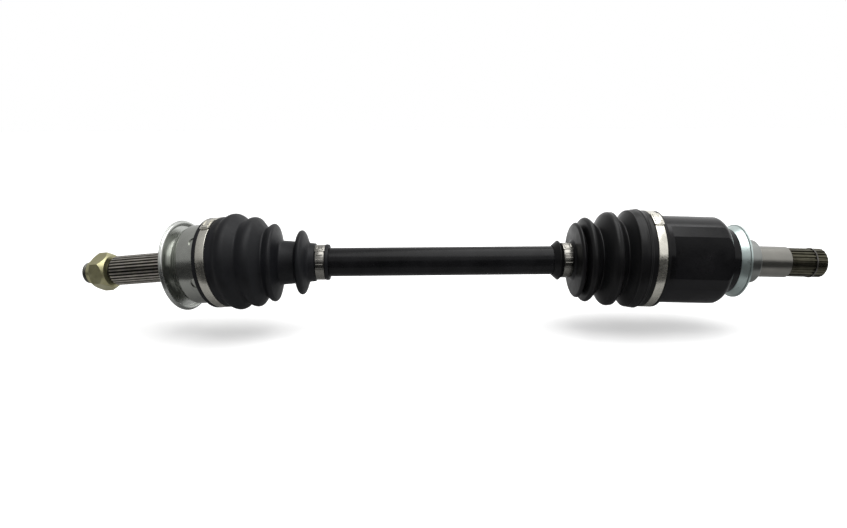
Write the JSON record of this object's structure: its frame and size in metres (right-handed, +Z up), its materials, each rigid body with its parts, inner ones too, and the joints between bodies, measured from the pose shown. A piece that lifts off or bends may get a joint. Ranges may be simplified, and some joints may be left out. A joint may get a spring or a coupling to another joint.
{
  "type": "cv axle",
  "caption": "Front-wheel-drive half shaft: solid bar between a splined ball joint with axle nut and a plunging tripod joint, both under clamped bellows boots.",
  "frame": {"origin": "on the axis of the solid bar, inside its plain middle length, at the middle of the seat where a support or damper clamps", "axes": "+X along the bar towards the gearbox joint, -X towards the wheel joint, +Z up with both joints hanging slightly, as the axle rests with its bar held level"},
  "size_m": [0.7005, 0.0947, 0.0918],
  "materials": {
    "black_paint": "semi-gloss black paint",
    "machined_steel": "ground and turned steel, lightly oiled",
    "bright_steel": "bright pressed steel",
    "yellow_zinc": "yellow-olive zinc plate on steel",
    "stainless": "bright stainless strap",
    "boot_rubber": "matte black rubber",
    "blue_zinc": "pale bluish zinc plate",
    "spring_steel": "dark phosphated spring steel",
    "bearing_steel": "ground bearing steel"
  },
  "bodies": {
    "bar_assembly": {"drive_bar": "black_paint", "outer_inner_race": "bearing_steel", "outer_race_circlip": "spring_steel", "outer_boot_small_clamp": "stainless", "inner_boot_small_clamp": "stainless", "tripod_spider": "bearing_steel", "spider_circlip": "spring_steel", "roller_retainer_1": "spring_steel", "roller_retainer_2": "spring_steel", "roller_retainer_3": "spring_steel"},
    "outer_boot_bar_half": {"outer_boot_small_end": "boot_rubber"},
    "ball_cage": {"outer_ball_cage": "bearing_steel", "steel_ball_1": "bearing_steel", "steel_ball_2": "bearing_steel", "steel_ball_3": "bearing_steel", "steel_ball_4": "bearing_steel", "steel_ball_5": "bearing_steel", "steel_ball_6": "bearing_steel"},
    "outer_boot_bell_half": {"outer_boot_large_end": "boot_rubber"},
    "wheel_stub": {"outer_bell": "machined_steel", "outer_dust_shield": "bright_steel", "axle_nut": "yellow_zinc", "outer_boot_large_clamp": "stainless"},
    "inner_boot_bar_half": {"inner_boot_small_end": "boot_rubber"},
    "inner_boot_cup_half": {"inner_boot_large_end": "boot_rubber"},
    "gearbox_cup": {"inner_tulip_housing": "black_paint", "inner_dust_ring": "blue_zinc", "inner_stub_circlip": "spring_steel", "tulip_stop_ring": "spring_steel", "inner_boot_large_clamp": "stainless"},
    "roller_1": {"tripod_roller_1": "bearing_steel"},
    "needle_set_1": {"needle_rollers_1": "bearing_steel"},
    "roller_2": {"tripod_roller_2": "bearing_steel"},
    "needle_set_2": {"needle_rollers_2": "bearing_steel"},
    "roller_3": {"tripod_roller_3": "bearing_steel"},
    "needle_set_3": {"needle_rollers_3": "bearing_steel"}
  },
  "joints": [
    {"name": "outer_lift_bar_side", "type": "hinge", "parent": "bar_assembly", "child": "outer_boot_bar_half", "pos_m": [-0.195, 0, 0], "axis": [0, 1, 0], "range_deg": [-2.55, 9.45], "deforming": ["outer_boot_small_end"]},
    {"name": "outer_steer_bar_side", "type": "hinge", "parent": "outer_boot_bar_half", "child": "ball_cage", "pos_m": [-0.195, 0, 0], "axis": [-0.0602, 0, 0.9982], "range_deg": [-11.7, 24.3]},
    {"name": "outer_steer_bell_side", "type": "hinge", "parent": "ball_cage", "child": "outer_boot_bell_half", "pos_m": [-0.195, 0, 0], "axis": [-0.0602, 0, 0.9982], "range_deg": [-11.7, 24.3], "deforming": ["outer_boot_large_end"]},
    {"name": "outer_lift_bell_side", "type": "hinge", "parent": "outer_boot_bell_half", "child": "wheel_stub", "pos_m": [-0.195, 0, 0], "axis": [0.2177, 0.9759, 0.0131], "range_deg": [-2.55, 9.45]},
    {"name": "inner_swing", "type": "hinge", "parent": "bar_assembly", "child": "inner_boot_bar_half", "pos_m": [0.23, 0, 0], "axis": [0, 0, 1], "range_deg": [-12, 12], "deforming": ["inner_boot_small_end"]},
    {"name": "inner_lift", "type": "hinge", "parent": "inner_boot_bar_half", "child": "inner_boot_cup_half", "pos_m": [0.23, 0, 0], "axis": [0, 1, 0], "range_deg": [-14, 10], "deforming": ["inner_boot_large_end"]},
    {"name": "inner_plunge", "type": "slide", "parent": "inner_boot_cup_half", "child": "gearbox_cup", "axis": [0.9994, 0, -0.0349], "range_m": [-0.013, 0.011]},
    {"name": "roller_1_spin", "type": "hinge", "parent": "bar_assembly", "child": "roller_1", "pos_m": [0.23, 0, 0], "axis": [0, -0.2588, 0.9659], "continuous": true},
    {"name": "needle_set_1_orbit", "type": "hinge", "parent": "bar_assembly", "child": "needle_set_1", "pos_m": [0.23, 0, 0], "axis": [0, -0.2588, 0.9659], "continuous": true},
    {"name": "roller_2_spin", "type": "hinge", "parent": "bar_assembly", "child": "roller_2", "pos_m": [0.23, 0, 0], "axis": [0, 0.9659, -0.2588], "continuous": true},
    {"name": "needle_set_2_orbit", "type": "hinge", "parent": "bar_assembly", "child": "needle_set_2", "pos_m": [0.23, 0, 0], "axis": [0, 0.9659, -0.2588], "continuous": true},
    {"name": "roller_3_spin", "type": "hinge", "parent": "bar_assembly", "child": "roller_3", "pos_m": [0.23, 0, 0], "axis": [0, -0.7071, -0.7071], "continuous": true},
    {"name": "needle_set_3_orbit", "type": "hinge", "parent": "bar_assembly", "child": "needle_set_3", "pos_m": [0.23, 0, 0], "axis": [0, -0.7071, -0.7071], "continuous": true}
  ],
  "couplings": [
    {"joint": "outer_lift_bell_side", "follows": "outer_lift_bar_side", "ratio": 1},
    {"joint": "outer_steer_bell_side", "follows": "outer_steer_bar_side", "ratio": 1},
    {"joint": "needle_set_1_orbit", "follows": "roller_1_spin", "ratio": 0.5541},
    {"joint": "needle_set_2_orbit", "follows": "roller_2_spin", "ratio": 0.5541},
    {"joint": "needle_set_3_orbit", "follows": "roller_3_spin", "ratio": 0.5541}
  ]
}
